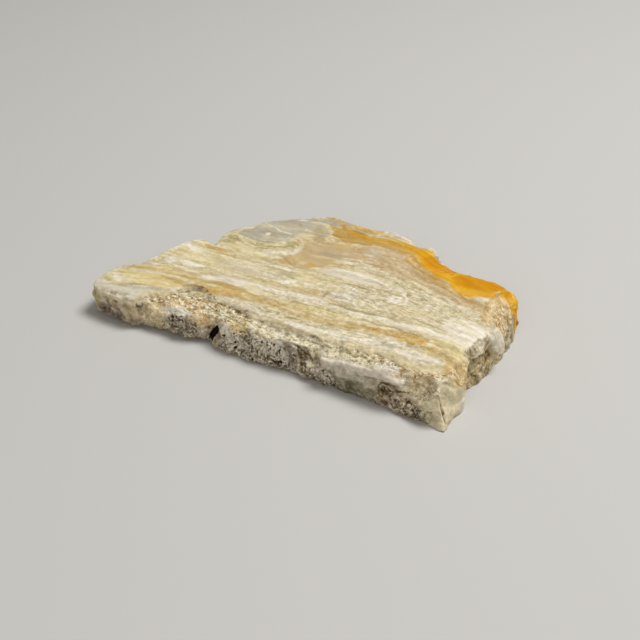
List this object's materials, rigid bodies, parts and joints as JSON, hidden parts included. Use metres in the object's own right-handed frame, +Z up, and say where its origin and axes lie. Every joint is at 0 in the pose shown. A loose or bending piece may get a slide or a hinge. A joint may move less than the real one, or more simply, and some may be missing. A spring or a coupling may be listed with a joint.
{
  "type": "hokkaidoite slice",
  "caption": "Thin sawn slice of banded opal stone with a straight weathered front, a broken end and a curved crusty back; a display specimen that lies on its flat underside.",
  "frame": {"origin": "middle of the slice seen from above, on the surface that it lies on", "axes": "+X along the straight front edge towards the broken end, +Y towards the curved back, +Z up out of the sawn top"},
  "size_m": [0.0616, 0.038, 0.0071],
  "materials": {
    "banded_opal": "sawn face satin, broken edges rough"
  },
  "bodies": {
    "root": {"hokkaidoite_slice": "banded_opal"}
  },
  "joints": []
}
